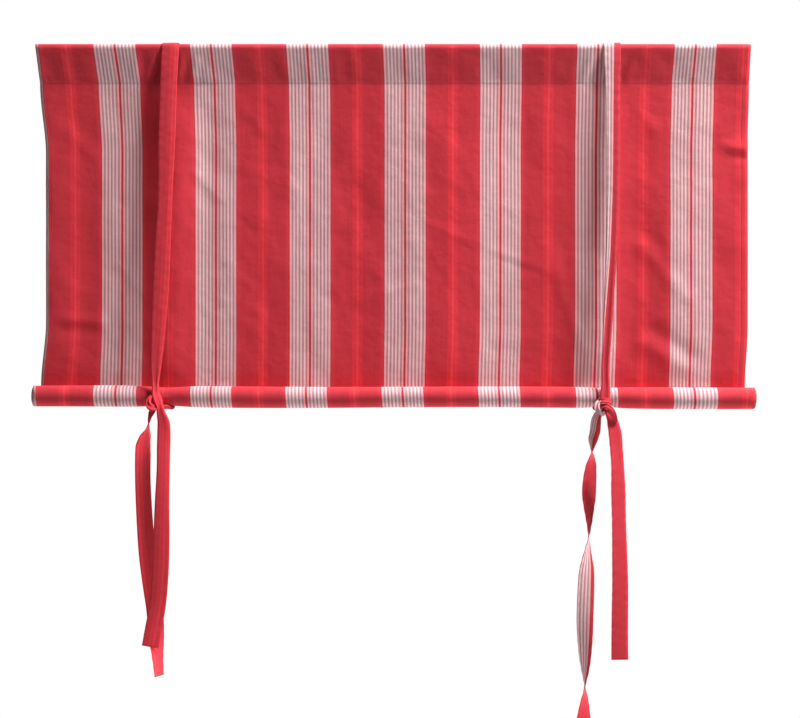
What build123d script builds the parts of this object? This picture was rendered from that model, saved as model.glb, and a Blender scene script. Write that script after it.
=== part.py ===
from build123d import *
import os
from math import acos, atan2, cos, degrees, exp, hypot, pi, radians, sin, sqrt

# A tie-up roll blind of striped cotton: a cloth that hangs from a rod in its top pocket, with
# its lower part rolled up towards the room and held by two cloth ties.
# Millimetres. X runs along the blind's width, -Y faces the room, Z is up. The origin is the
# middle of the top rod's axis.

# Cloth
blind_width = 1000.0
finished_drop = 1200.0
raised_drop = 494.0
cloth_thickness = 0.6
side_hem = 10.0
pocket_depth = 54.6
flap_turn_in = 5.0
seam_setback = 0.4
roll_stub = 5.0
turn_gap = 0.2

# Rods and the play round them
top_rod_diameter = 12.0
top_rod_wall = 1.0
top_rod_setback = 3.0
bottom_rod_diameter = 12.0
bottom_rod_setback = 9.0
rod_play = 0.3

# How far each side edge hangs inside the blind's width, at the pocket's seam, at the waist of
# the drop and just above the roll, how far the roll's ends stand beyond it, and how much and
# from which height the turns there draw back towards the top and the bottom
seam_insets = {"left": 6.0, "right": 1.6}
waist_insets = {"left": 14.0, "right": 4.2}
roll_insets = {"left": 7.0, "right": 7.2}
roll_overhangs = {"left": 0.5, "right": 3.5}
roll_end_rise = 3.5
roll_end_flat = 15.0

# Soft folds of the drop: one forward at each tie, and a low swell across the whole width
fold_depth = 7.0
fold_pitch = 130.0
fold_reach = 75.0
swell_depth = 1.2
swell_pitch = 310.0
fold_run_in = 90.0
fold_spacing = 26.0

# Ties
tie_width = 24.0
tie_thickness = 1.6
tie_play = 0.3
tie_insets = {"left": 189.0, "right": 195.0}
tie_lean = 15.0
gathered_width = 12.0
gathered_thickness = 2.6
full_width_share = 0.7
knot_bearing = 218.0
knot_length = 19.0
knot_core_diameter = 13.0
knot_band_width = 9.0
knot_band_thickness = 2.4
knot_band_bite = 1.0
knot_band_tilt = 28.0
knot_entry_angle = 30.0
bunch_width = 8.0
bunch_thickness = 4.0

# Tails of the ties below their knots. Each station is how far it lies below the knot, beside it
# and in front of it, and by how many degrees the flat of the tail is turned away from the room.
left_outer_tail = [
    (16, -11, 1, 73), (40, -16, 2, 64), (66, -20, 3, 34), (96, -20, 4, 10), (130, -18, 4, 0),
    (165, -16, 4, 0), (203, -13, 4, 4), (242, -8, 4, 6), (280, -2, 4, 14), (314, -1, 4, 34),
    (344, 1, 3, 58), (369, 3, 3, 66)]
left_inner_tail = [
    (16, 6, -2, 50), (40, 8, -3, 42), (73, 9, -4, 30), (110, 8, -4, 8), (150, 8, -4, 0),
    (190, 7, -4, 0), (235, 4, -4, -4), (270, 0, -4, -4), (300, -4, -4, 0), (329, -8, -4, 0)]
right_outer_tail = [
    (16, -10, 0, -150), (38, -13, 0, -120), (60, -16, 0, -92), (85, -18, 0, -50), (111, -19, 0, -12),
    (136, -20, 0, 36), (162, -20, 0, 74), (190, -21, 0, 106), (220, -23, 0, 136), (250, -24, 0, 160),
    (281, -25, 0, 182), (312, -25, 0, 210), (342, -25, 0, 240), (372, -25, 0, 270), (404, -26, 0, 298),
    (430, -27, 0, 318), (454, -28, 0, 335)]
right_inner_tail = [
    (16, 12, -1, 52), (40, 17, -2, 42), (70, 19, -3, 34), (105, 20, -3, 24), (145, 21, -3, 18),
    (185, 21, -3, 16), (225, 21, -3, 12), (265, 20, -3, 6), (306, 20, -3, 2), (347, 21, -3, 0)]

# Worked out from the sizes above
half_width = blind_width / 2
half_cloth = cloth_thickness / 2
pocket_inner = top_rod_diameter / 2 + rod_play
pocket_outer = pocket_inner + cloth_thickness
seam_z = pocket_outer - pocket_depth
flap_z = seam_z - flap_turn_in
roll_z = pocket_outer - raised_drop

# The cloth that isn't hanging is wound in half-turns, each smaller by half the pitch
turn_pitch = cloth_thickness + turn_gap
core_radius = bottom_rod_diameter / 2 + rod_play + half_cloth
wound_length = finished_drop - raised_drop
linear_term = pi * (core_radius - turn_pitch / 4)
half_turns = round(
    (sqrt(linear_term ** 2 + pi * turn_pitch * wound_length) - linear_term) / (pi * turn_pitch / 2))
wound_radius = core_radius + (half_turns - 1) * turn_pitch / 2
roll_radius = wound_radius + half_cloth
roll_y = seam_setback - wound_radius
front_y = seam_setback - half_cloth
back_y = seam_setback + half_cloth
drop_bottom_z = roll_z + roll_radius + roll_stub

tie_top = {
    "left": -half_width + tie_insets["left"],
    "right": half_width - tie_insets["right"],
}


def tangent_angle(y, z, radius, side):
    """Bearing about the rod where a line from (y, z) touches a circle; side +1 is the window's."""
    return degrees(atan2(z, y) + side * acos(radius / hypot(y, z)))


def on_circle(radius, bearing, centre=(0, 0)):
    """Point of the YZ plane at a bearing from the window's side."""
    return centre[0] + radius * cos(radians(bearing)), centre[1] + radius * sin(radians(bearing))


def pocket_loop(radius, front_corner, back_corner):
    """Closed line that rises from the seam, goes round the rod and comes back to the seam."""
    front = tangent_angle(*front_corner, radius, -1) + 360
    back = tangent_angle(*back_corner, radius, 1)
    return [
        Line(front_corner, on_circle(radius, front)),
        CenterArc((0, 0), radius, front, back - front),
        Line(on_circle(radius, back), back_corner),
    ]


def pocket_section():
    """Cloth of the rod pocket: two layers from the rod to the seam, and the flap's turned edge."""
    seam_front = (front_y, seam_z)
    seam_back = (back_y + cloth_thickness, seam_z)
    outline = pocket_loop(pocket_outer, seam_front, seam_back)
    outline += [
        Line(seam_back, (seam_back[0], flap_z)),
        Line((seam_back[0], flap_z), (seam_front[0], flap_z)),
        Line((seam_front[0], flap_z), seam_front),
    ]
    notch = (back_y, seam_z)
    hollow = pocket_loop(pocket_inner, notch, notch)
    return make_face(outline) - make_face(hollow)


def wound_side(side):
    """Half-turns of one face of the wound cloth, from the outermost; side +1 is the outer face."""
    arcs = []
    for turn in range(half_turns):
        upper = turn % 2
        centre_y = roll_y - upper * turn_pitch / 2
        radius = wound_radius - turn * turn_pitch / 2 + side * half_cloth
        start = 0 if upper else 180
        arcs.append(CenterArc((centre_y, roll_z), radius, start, 180))
    return arcs


def roll_section():
    """Cloth from the foot of the drop down behind the roll, and inwards to its free edge."""
    outer = wound_side(1)
    inner = wound_side(-1)
    free_edge = Line(outer[-1] @ 0, inner[-1] @ 0)
    stub = [
        Line((back_y, roll_z), (back_y, drop_bottom_z)),
        Line((back_y, drop_bottom_z), (front_y, drop_bottom_z)),
        Line((front_y, drop_bottom_z), (front_y, roll_z)),
    ]
    return make_face(outer + inner + stub + [free_edge])


def across(section):
    """A YZ section drawn out over more than the blind's width, to be trimmed to its sides."""
    reach = half_width + max(roll_overhangs.values()) + side_hem
    return extrude(Plane.YZ * section, amount=reach, both=True)


def trimmed(solid, outline):
    """The solid inside a front outline."""
    return solid & extrude(Plane.XZ * make_face(outline), amount=blind_width, both=True)


def side_x(side, inset):
    """Place of a side edge that hangs inside the blind's width by an inset."""
    return (-1 if side == "left" else 1) * (half_width - inset)


def pocket_cloth():
    """The rod pocket, drawn in a little at its seam."""
    left = side_x("left", seam_insets["left"])
    right = side_x("right", seam_insets["right"])
    corners = [(-half_width, pocket_outer), (left, flap_z), (right, flap_z), (half_width, pocket_outer)]
    return trimmed(across(pocket_section()), [Polyline(*corners, close=True)])


def roll_end(side):
    """Front outline of one end of the roll, from its foot up to the drop's side edge."""
    end = side_x(side, -roll_overhangs[side])
    drawn_back = side_x(side, roll_end_rise - roll_overhangs[side])
    return [
        (drawn_back, roll_z - roll_radius),
        (end, roll_z - roll_end_flat / 2),
        (end, roll_z + roll_end_flat / 2),
        (drawn_back, roll_z + roll_radius),
        (side_x(side, roll_insets[side]), drop_bottom_z),
    ]


def rolled_cloth():
    """The roll of cloth, whose turns draw back a little at both ends."""
    outline = roll_end("right") + roll_end("left")[::-1]
    return trimmed(across(roll_section()), [Polyline(*outline, close=True)])


def fold_y(x, share):
    """How far the drop hangs out of its plane at x, as a share of the full folds."""
    folds = sum(
        -fold_depth * cos(2 * pi * (x - tie_x) / fold_pitch) * exp(-((x - tie_x) / fold_reach) ** 2)
        for tie_x in tie_top.values())
    edge = 1 - (x / half_width) ** 2
    return share * (folds + edge * swell_depth * sin(2 * pi * x / swell_pitch))


def drop_section(z, insets, share):
    """Level cut through the drop: one layer between the side hems, and two in them."""
    left = side_x("left", insets["left"])
    right = side_x("right", insets["right"])
    start = left + side_hem
    spread = right - side_hem - start
    count = round(spread / fold_spacing)
    between = [start + spread * step / count for step in range(count + 1)]

    def face_line(xs, offset):
        return Spline(*[(x, fold_y(x, share) + offset) for x in xs])

    edges = [
        face_line([left] + between + [right], front_y),
        face_line([right, between[-1]], back_y + cloth_thickness),
        face_line(between[::-1], back_y),
        face_line([between[0], left], back_y + cloth_thickness),
    ]
    links = []
    for index, edge in enumerate(edges):
        links.append(Line(edge @ 1, edges[(index + 1) % len(edges)] @ 0))
    return Plane.XY.offset(z) * make_face(edges + links)


def drop_cloth():
    """The hanging drop, straight at the seam and at the roll, with folds and a waist between."""
    return loft([
        drop_section(flap_z, seam_insets, 0),
        drop_section(flap_z - fold_run_in, waist_insets, 1),
        drop_section(drop_bottom_z + fold_run_in, waist_insets, 1),
        drop_section(drop_bottom_z, roll_insets, 0),
    ], ruled=True)


def cloth_panel():
    """The whole cloth, sewn and rolled as one piece."""
    return pocket_cloth() + drop_cloth() + rolled_cloth()


def top_rod():
    """Open tube in the top pocket."""
    length = blind_width - 2 * top_rod_setback
    bore = Circle(top_rod_diameter / 2 - top_rod_wall)
    return extrude(Plane.YZ * (Circle(top_rod_diameter / 2) - bore), amount=length / 2, both=True)


def bottom_rod():
    """Dowel in the core of the roll."""
    length = blind_width - 2 * bottom_rod_setback
    centre = Plane.YZ * Pos(roll_y, roll_z)
    return extrude(centre * Circle(bottom_rod_diameter / 2), amount=length / 2, both=True)


def level_cut(x, y, z, width, thickness, turn=0):
    """Level cut through a band, its width turned away from X by an angle."""
    plane = Plane(origin=(x, y, z), x_dir=(cos(radians(turn)), sin(radians(turn)), 0), z_dir=(0, 0, 1))
    return plane * Rectangle(width, thickness)


def radial_cut(x, centre, inner_radius, bearing, width, thickness):
    """Cut through a band that goes round an axis along X, at a bearing from the window's side."""
    y, z = on_circle(inner_radius + thickness / 2, bearing, centre)
    outward = (0, cos(radians(bearing)), sin(radians(bearing)))
    along = (0, -outward[2], outward[1])
    return Plane(origin=(x, y, z), x_dir=(1, 0, 0), z_dir=along) * Rectangle(width, thickness)


def band_round(x, centre, inner_radius, width, thickness, start, sweep):
    """Band laid round an axis along X."""
    outer_radius = inner_radius + thickness
    finish = start + sweep
    face = make_face([
        CenterArc(centre, inner_radius, start, sweep),
        Line(on_circle(inner_radius, finish, centre), on_circle(outer_radius, finish, centre)),
        CenterArc(centre, outer_radius, start, sweep),
        Line(on_circle(inner_radius, start, centre), on_circle(outer_radius, start, centre)),
    ])
    return extrude(Plane.YZ.offset(x) * face, amount=width / 2, both=True)


def knot(x, y, z):
    """Pulled-tight knot: a core that narrows to both ends, with one turn of the band slantwise on it."""
    core_radius = knot_core_diameter / 2
    end = knot_length / 2
    shoulder = end / 2
    profile = [(-end, 0), (-end, core_radius / 2), (-shoulder, core_radius),
               (shoulder, core_radius), (end, core_radius / 2), (end, 0)]
    core = revolve(make_face([Polyline(*profile, close=True)]), Axis.X)
    band_middle = core_radius - knot_band_bite + knot_band_thickness / 2
    band = revolve(Pos(0, band_middle) * Rectangle(knot_band_width, knot_band_thickness), Axis.X)
    return Pos(x, y, z) * (core + Rot(0, knot_band_tilt, 0) * band)


def tail(knot_place, stations):
    """Free end of a tie, hanging from its knot."""
    x, y, z = knot_place
    cuts = [level_cut(x, y, z, bunch_width, bunch_thickness, stations[0][3])]
    for drop, aside, back, turn in stations:
        cuts.append(level_cut(x + aside, y + back, z - drop, tie_width, tie_thickness, turn))
    return loft(cuts)


def tie(side, outer_tail, inner_tail):
    """One band, laid over the pocket, down the front and the back, and knotted under the roll."""
    top_x = tie_top[side]
    roll_x = top_x - tie_lean
    rod_axis = (0, 0)
    roll_axis = (roll_y, roll_z)
    top_radius = pocket_outer + tie_play
    roll_inner = roll_radius + tie_play
    top_middle = top_radius + tie_thickness / 2
    gathered_y = roll_y - roll_inner - gathered_thickness / 2
    behind_y = roll_y + roll_inner + tie_thickness / 2

    over_top = band_round(top_x, rod_axis, top_radius, tie_width, tie_thickness, 0, 180)
    share = full_width_share
    front_run = loft([
        level_cut(top_x, -top_middle, 0, tie_width, tie_thickness),
        level_cut(top_x + (roll_x - top_x) * share, -top_middle + (gathered_y + top_middle) * share,
                  roll_z * share, tie_width, tie_thickness),
        level_cut(roll_x, gathered_y, roll_z, gathered_width, gathered_thickness),
    ], ruled=True)
    back_run = loft([
        level_cut(top_x, top_middle, 0, tie_width, tie_thickness),
        level_cut(roll_x, behind_y, roll_z, tie_width, tie_thickness),
    ], ruled=True)

    knot_radius = knot_core_diameter / 2 - knot_band_bite + knot_band_thickness
    knot_radius += knot_band_width / 2 * sin(radians(knot_band_tilt))
    knot_y, knot_z = on_circle(roll_inner + knot_radius, knot_bearing, roll_axis)
    back_end = knot_bearing + knot_entry_angle
    under_roll = band_round(roll_x, roll_axis, roll_inner, tie_width, tie_thickness,
                            back_end, 360 - back_end)
    into_knot = loft([
        radial_cut(roll_x, roll_axis, roll_inner, back_end, tie_width, tie_thickness),
        radial_cut(roll_x, roll_axis, roll_inner + knot_radius / 2, knot_bearing,
                   gathered_width, gathered_thickness),
    ], ruled=True)
    down_front = band_round(roll_x, roll_axis, roll_inner, gathered_width, gathered_thickness,
                            180, knot_bearing - 180)
    place = (roll_x, knot_y, knot_z)
    tails = tail(place, outer_tail) + tail(place, inner_tail)
    return over_top + front_run + back_run + under_roll + into_knot + down_front + knot(*place) + tails


nodes = {
    "cloth_panel": cloth_panel(),
    "top_rod": top_rod(),
    "bottom_rod": bottom_rod(),
    "left_tie": tie("left", left_outer_tail, left_inner_tail),
    "right_tie": tie("right", right_outer_tail, right_inner_tail),
}

os.makedirs("parts", exist_ok=True)
for name, solid in nodes.items():
    export_step(solid, f"parts/{name}.step")
print(f"roll of {half_turns} half-turns, {2 * roll_radius:.1f} mm across")
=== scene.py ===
from math import acos, atan2, ceil, cos, exp, hypot, pi, radians, sin, sqrt

import bpy
import numpy as np
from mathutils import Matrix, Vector, noise


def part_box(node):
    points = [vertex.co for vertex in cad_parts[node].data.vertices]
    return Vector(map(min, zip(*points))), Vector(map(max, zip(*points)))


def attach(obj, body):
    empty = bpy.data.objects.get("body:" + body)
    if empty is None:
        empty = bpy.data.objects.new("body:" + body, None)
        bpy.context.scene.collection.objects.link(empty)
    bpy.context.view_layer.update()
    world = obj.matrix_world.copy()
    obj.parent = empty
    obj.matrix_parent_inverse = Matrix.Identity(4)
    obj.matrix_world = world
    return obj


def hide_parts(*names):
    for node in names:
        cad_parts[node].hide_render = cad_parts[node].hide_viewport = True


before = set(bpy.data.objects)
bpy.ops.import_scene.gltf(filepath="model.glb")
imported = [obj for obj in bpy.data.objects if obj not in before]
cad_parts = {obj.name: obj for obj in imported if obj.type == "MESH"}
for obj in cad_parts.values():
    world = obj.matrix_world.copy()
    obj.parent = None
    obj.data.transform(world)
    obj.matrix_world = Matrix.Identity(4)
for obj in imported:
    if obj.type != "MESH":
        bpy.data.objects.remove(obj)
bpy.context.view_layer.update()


# The cotton. One plain-woven cloth with stripes along its length: deep red, and pale stripes of
# twelve cream pinstripes on mauve with a red line in their middle. The pocket, the drop, the roll
# and both ties are cut from it, and a piece's UV map says where in the cloth each point was cut.

stripe_repeat = 0.1354
first_pale_centre = -0.3900
pale_half = 0.0294
pinstripe_pitch = 0.0050
first_pinstripe = 0.0027
red_line_half = 0.0013
border_width = 0.0016
selvedge_band = 0.0065
bright_band_half = 0.0074
bright_line_half = 0.0011
edge_blur = 0.0003
waver_half = 0.00035
thread_pitch = 0.00055

# How unevenly the cloth is dyed along its warp, across its weft and in its slubs, as shares of its
# brightness, and how high its weave, slubs and crumples stand against each other
streak_depth = 0.26
weft_depth = 0.16
slub_depth = 0.20
weave_relief = 0.05
slub_relief = 0.35
crumple_relief = 2.8
relief_height = 0.0006

cream_thread = (238, 198, 200)
rose_thread = (250, 170, 174)
mauve_thread = (183, 133, 143)
warm_mauve_thread = (190, 146, 146)
red_line_thread = (174, 62, 74)
border_red = (168, 38, 50)
side_red = (209, 58, 71)
body_red = (198, 51, 63)
bright_red = (218, 53, 65)
light_red = (229, 67, 79)


def tone(colour):
    """A colour written as a screen shows it, made into the linear one that a shader takes."""
    linear = [((c / 255 + 0.055) / 1.055) ** 2.4 if c > 10 else c / 3294.6 for c in colour]
    return (*linear, 1.0)


def node(tree, kind, inputs=None, **settings):
    """One shader or geometry node, with its settings and what goes into its sockets."""
    made = tree.nodes.new(kind)
    for name, value in settings.items():
        setattr(made, name, value)
    for socket, value in (inputs or {}).items():
        if isinstance(value, bpy.types.NodeSocket):
            tree.links.new(value, made.inputs[socket])
        else:
            made.inputs[socket].default_value = value
    return made


def maths(tree, operation, *values):
    return node(tree, "ShaderNodeMath", dict(enumerate(values)), operation=operation).outputs[0]


def between(tree, value, low, high):
    """Rises smoothly from 0 to 1 as the value goes from low to high."""
    inputs = {"Value": value, "From Min": low, "From Max": high}
    return node(tree, "ShaderNodeMapRange", inputs, interpolation_type="SMOOTHSTEP").outputs[0]


def blended(tree, share, low, high):
    """Mix of two colours, each a thread's colour or a socket."""
    low, high = [tone(c) if isinstance(c, tuple) else c for c in (low, high)]
    return node(tree, "ShaderNodeMix", {0: share, 6: low, 7: high}, data_type="RGBA").outputs[2]


def grain(tree, place, scale, detail=2.0):
    """Noise with a number of grains a metre along each axis of the place that it is given."""
    moved = node(tree, "ShaderNodeMapping", {"Vector": place, "Scale": scale}).outputs[0]
    inputs = {"Vector": moved, "Scale": 1.0, "Detail": detail}
    return node(tree, "ShaderNodeTexNoise", inputs).outputs[0]


def new_material(name):
    material = bpy.data.materials.new(name)
    material.use_nodes = True
    tree = material.node_tree
    return material, tree, tree.nodes["Principled BSDF"]


def striped_cotton():
    material, tree, surface = new_material("striped_cotton")
    place = node(tree, "ShaderNodeUVMap", uv_map="cut").outputs[0]
    parts = node(tree, "ShaderNodeSeparateXYZ", {0: place})
    waver = maths(tree, "MULTIPLY_ADD", grain(tree, place, (60, 8, 1)), 2 * waver_half, -waver_half)
    across = maths(tree, "ADD", parts.outputs[0], waver)
    from_first = maths(tree, "SUBTRACT", across, first_pale_centre)
    from_pale = maths(tree, "PINGPONG", from_first, stripe_repeat / 2)
    from_red = maths(tree, "SUBTRACT", stripe_repeat / 2, from_pale)

    past_first = maths(tree, "SUBTRACT", from_pale, first_pinstripe)
    phase = maths(tree, "MULTIPLY", past_first, 2 * pi / pinstripe_pitch)
    crest = between(tree, maths(tree, "COSINE", phase), -0.45, 0.55)
    middle = between(tree, from_pale, 2 * red_line_half, red_line_half)
    # The pinstripes next to the red line and next to the border are rose, the others cream
    inner = between(tree, from_pale, 1.9 * first_pinstripe, 1.3 * first_pinstripe)
    outer = between(tree, from_pale, pale_half - 1.1 * first_pinstripe, pale_half - 0.7 * first_pinstripe)
    pale_line = blended(tree, maths(tree, "MAXIMUM", inner, outer), cream_thread, rose_thread)
    tint = grain(tree, place, (420, 9, 1))
    gap_line = blended(tree, between(tree, tint, 0.35, 0.7), mauve_thread, warm_mauve_thread)
    gap_line = blended(tree, middle, gap_line, red_line_thread)
    pale = blended(tree, crest, gap_line, pale_line)

    side = between(tree, from_pale, pale_half + border_width + selvedge_band, pale_half + border_width)
    red = blended(tree, side, body_red, side_red)
    red = blended(tree, between(tree, from_pale, pale_half + border_width, pale_half), red, border_red)
    band = between(tree, from_red, bright_band_half + 2 * edge_blur, bright_band_half - 2 * edge_blur)
    red = blended(tree, band, red, bright_red)
    line = between(tree, from_red, 2 * bright_line_half, bright_line_half / 2)
    red = blended(tree, line, red, light_red)
    in_red = between(tree, from_pale, pale_half - edge_blur, pale_half + edge_blur)
    stripes = blended(tree, in_red, pale, red)

    streaks = grain(tree, place, (900, 14, 1), 3.0)
    weft = grain(tree, place, (30, 1400, 1), 3.0)
    slubs = grain(tree, place, (240, 1900, 1), 2.0)
    uneven = 1.0
    for threads, depth in ((streaks, streak_depth), (weft, weft_depth), (slubs, slub_depth)):
        uneven = maths(tree, "ADD", uneven, maths(tree, "MULTIPLY_ADD", threads, depth, -depth / 2))
    colour = node(tree, "ShaderNodeHueSaturation", {"Value": uneven, "Color": stripes}).outputs[0]
    tree.links.new(colour, surface.inputs["Base Color"])

    warp_wave = maths(tree, "SINE", maths(tree, "MULTIPLY", parts.outputs[0], 2 * pi / thread_pitch))
    weft_wave = maths(tree, "SINE", maths(tree, "MULTIPLY", parts.outputs[1], 2 * pi / thread_pitch))
    weave = maths(tree, "MULTIPLY", warp_wave, weft_wave)
    crumple = grain(tree, place, (55, 70, 1), 4.0)
    height = maths(tree, "MULTIPLY", weave, weave_relief)
    for form, relief in ((slubs, slub_relief), (crumple, crumple_relief)):
        height = maths(tree, "ADD", height, maths(tree, "MULTIPLY", form, relief))
    bump = node(tree, "ShaderNodeBump", {"Strength": 0.5, "Distance": relief_height, "Height": height})
    tree.links.new(bump.outputs[0], surface.inputs["Normal"])
    tree.links.new(maths(tree, "MULTIPLY_ADD", slubs, 0.12, 0.80), surface.inputs["Roughness"])
    surface.inputs["Specular IOR Level"].default_value = 0.20
    surface.inputs["Sheen Weight"].default_value = 0.04
    surface.inputs["Sheen Roughness"].default_value = 0.5
    surface.inputs["Subsurface Weight"].default_value = 0.3
    surface.inputs["Subsurface Radius"].default_value = (1.0, 0.3, 0.25)
    surface.inputs["Subsurface Scale"].default_value = 0.0015
    return material


cotton = striped_cotton()


# The blind's cloth. One sheet, sewn to a pocket round the rod at its top, that hangs in soft folds
# between the two ties and is wound towards the room round a wooden rod. It is drawn in at its
# middle and pinched where each tie crosses it.

cloth_thickness = 0.0005
layer_gap = 0.0001
seam_depth = 0.0546
flap_turn_in = 0.005
seam_y = 0.0004
rod_play = 0.0006
turn_pitch = 0.0008
turns_wound = 10.2
end_sharpness = 24
end_cone = 0.0030
end_inset = 0.0022
end_waver = 0.0010
column_width = 0.005
row_height = 0.0045
rod_steps = 16
fine_turns = 1.5
turn_steps = 24
coarse_share = 8

rod_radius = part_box("top_rod")[1].z
cloth_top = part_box("cloth_panel")[1].z
dowel_low, dowel_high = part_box("bottom_rod")
dowel_radius = (dowel_high.z - dowel_low.z) / 2
roll_y = (dowel_low.y + dowel_high.y) / 2
roll_z = (dowel_low.z + dowel_high.z) / 2
pocket_radius = rod_radius + rod_play
roll_radius = seam_y - roll_y
core_radius = dowel_radius + rod_play
seam_z = cloth_top - seam_depth
half_width = 0.5
left_tie_x = -0.3185
right_tie_x = 0.2975

# How far the stripes are drawn aside at six places across the cloth, from its left edge to its
# right one, at the top, the seam, the middle of the drop, its foot and on the roll
drawn_at = (-0.5, -0.39, -0.12, 0.15, 0.42, 0.5)
drawn_aside = {
    "top": (0, 0.0005, -0.001, -0.001, 0.001, 0),
    "seam": (0.0058, 0.0075, 0.0022, -0.0002, -0.003, -0.0016),
    "middle": (0.0142, 0.0106, 0.0030, -0.0012, -0.0052, -0.0030),
    "foot": (0.0072, 0.0098, 0.0028, -0.0034, -0.0072, -0.0072),
    "roll": (-0.0005, 0.0058, -0.0010, -0.0042, -0.0040, 0.0033),
}
seam_to_middle = 0.10
middle_to_foot = 0.09

# Creases of the hanging drop, each from one point to another as (x, z), with the height of its
# ridge towards the room and its half width. They die away over a short length at their ends.
crease_fade = 0.012
creases = [
    (-0.482, -0.378, -0.415, -0.382, 0.0016, 0.009),
    (-0.482, -0.392, -0.425, -0.396, -0.0012, 0.008),
    (0.468, -0.136, 0.500, -0.139, 0.0018, 0.007),
    (0.470, -0.149, 0.500, -0.152, -0.0014, 0.006),
    (-0.292, -0.168, -0.222, -0.232, 0.0010, 0.006),
    (-0.262, -0.190, -0.196, -0.262, -0.0007, 0.006),
    (0.052, -0.246, 0.234, -0.320, 0.0005, 0.006),
    (0.160, -0.296, 0.215, -0.318, -0.0005, 0.005),
    (0.345, -0.268, 0.418, -0.352, 0.0018, 0.012),
    (0.345, -0.405, 0.420, -0.452, 0.0024, 0.012),
    (0.372, -0.392, 0.440, -0.440, -0.0016, 0.010),
    (-0.235, -0.060, -0.180, -0.118, 0.0008, 0.007),
    (-0.395, -0.300, -0.348, -0.352, 0.0009, 0.009),
    (0.225, -0.300, 0.268, -0.420, 0.0014, 0.010),
    (-0.060, -0.352, 0.040, -0.330, 0.0007, 0.008),
    (0.335, -0.075, 0.378, -0.120, 0.0009, 0.008),
    (-0.470, -0.110, -0.420, -0.165, 0.0008, 0.010),
]

# The drop's soft forms towards the room: a fold behind each tie as (x, depth), two long swells as
# (depth, length across), and crumples as (depth, number a metre across, number a metre down, seed)
tie_folds = ((left_tie_x, 0.0046), (right_tie_x, 0.0034))
fold_length = 0.118
fold_reach = 0.062
fold_lean = 0.010
broad_swell = (0.0011, 0.31)
narrow_swell = (0.0008, 0.19)
crumples = ((0.0016, 9, 5, 1.7), (0.0013, 24, 15, 4.2), (0.00055, 60, 48, 8.3))

# The pocket's puckers: fine pleats beside each tie, and ripples given as the drop's crumples are,
# each with its slant
pleat_depth = 0.0020
pleat_length = 0.021
pleats_reach = 0.036
pleat_slant = 0.35
pocket_ripples = ((0.0011, 34, 7, 2.9, 0.22), (0.0005, 90, 26, 5.5, 0.0))

# The roll: how far each tie presses its turns in as (x, share of their depth, reach), how unevenly
# it is thick and straight along its length, and how far its turns are flattened and bowed
tie_presses = ((left_tie_x, 0.30, 0.032), (right_tie_x, 0.20, 0.024))
uneven_thickness = 0.05
extra_thickness = 0.03
left_end_lift = 0.0012
fall_to_right = 0.0022
roll_wave = 0.0007
turn_flattening = 0.0005
turn_bow = 0.0012

# Heights above the roll from which the drop's relief dies away, its cloth draws back to the wound
# cloth's edge, and its rows take the roll's own line
relief_fade = 0.03
draw_back_height = 0.12
roll_line_height = 0.10


def eased(value, low, high):
    """Rises smoothly from 0 to 1 between low and high, for numbers and arrays."""
    share = np.clip((np.asarray(value) - low) / (high - low), 0, 1)
    return share * share * (3 - 2 * share)


def drawn(level, across):
    return np.interp(across, drawn_at, drawn_aside[level])


def aside_at(z, across):
    """How far the stripes are drawn aside at one height of the drop or pocket."""
    foot = roll_z + roll_radius
    middle_high = seam_z - seam_to_middle
    middle_low = foot + middle_to_foot
    if z > seam_z:
        share = (cloth_top - z) / (cloth_top - seam_z)
        return drawn("top", across) * (1 - share) + drawn("seam", across) * share
    if z > middle_high:
        share = eased(seam_z - z, 0, seam_z - middle_high)
        return drawn("seam", across) * (1 - share) + drawn("middle", across) * share
    share = eased(middle_low - z, 0, middle_low - foot)
    return drawn("middle", across) * (1 - share) + drawn("foot", across) * share


def roll_squeeze(x):
    """How much of the wound cloth's depth the ties press in, and the roll's uneven thickness."""
    pressed = sum(share * exp(-((x - tie_x) / reach) ** 2) for tie_x, share, reach in tie_presses)
    return pressed + uneven_thickness * sin(9.0 * x + 1.0) - extra_thickness


def roll_drop(x):
    """The roll hangs a little higher at its left end."""
    return left_end_lift - fall_to_right * (x + half_width) + roll_wave * sin(11.0 * x)


def roll_point(x, angle):
    """Point of the wound cloth's middle, at an angle wound from where it leaves the drop."""
    radius = roll_radius - turn_pitch * angle / (2 * pi)
    depth = (radius - core_radius) * (1 - roll_squeeze(x))
    radius = max(core_radius, core_radius + depth)
    lift = roll_drop(x) * depth / (roll_radius - core_radius)
    flat_front = turn_flattening * sin(2 * angle) * exp(-angle / 9)
    radius += flat_front * sin(23 * x + 1)
    return roll_y + radius * cos(angle), roll_z + lift - radius * sin(angle)


def crease_depth(x, z):
    """Sum of the drop's creases at a point, towards the room."""
    total = 0.0
    for x1, z1, x2, z2, height, half in creases:
        length = hypot(x2 - x1, z2 - z1)
        along = ((x - x1) * (x2 - x1) + (z - z1) * (z2 - z1)) / length
        aside = ((x - x1) * (z2 - z1) - (z - z1) * (x2 - x1)) / length
        if -crease_fade < along < length + crease_fade and abs(aside) < 3 * half:
            begun = eased(along, -crease_fade, crease_fade)
            ended = eased(along, length - crease_fade, length + crease_fade)
            total += height * float(begun * (1 - ended)) * exp(-(aside / half) ** 2)
    return total


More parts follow.
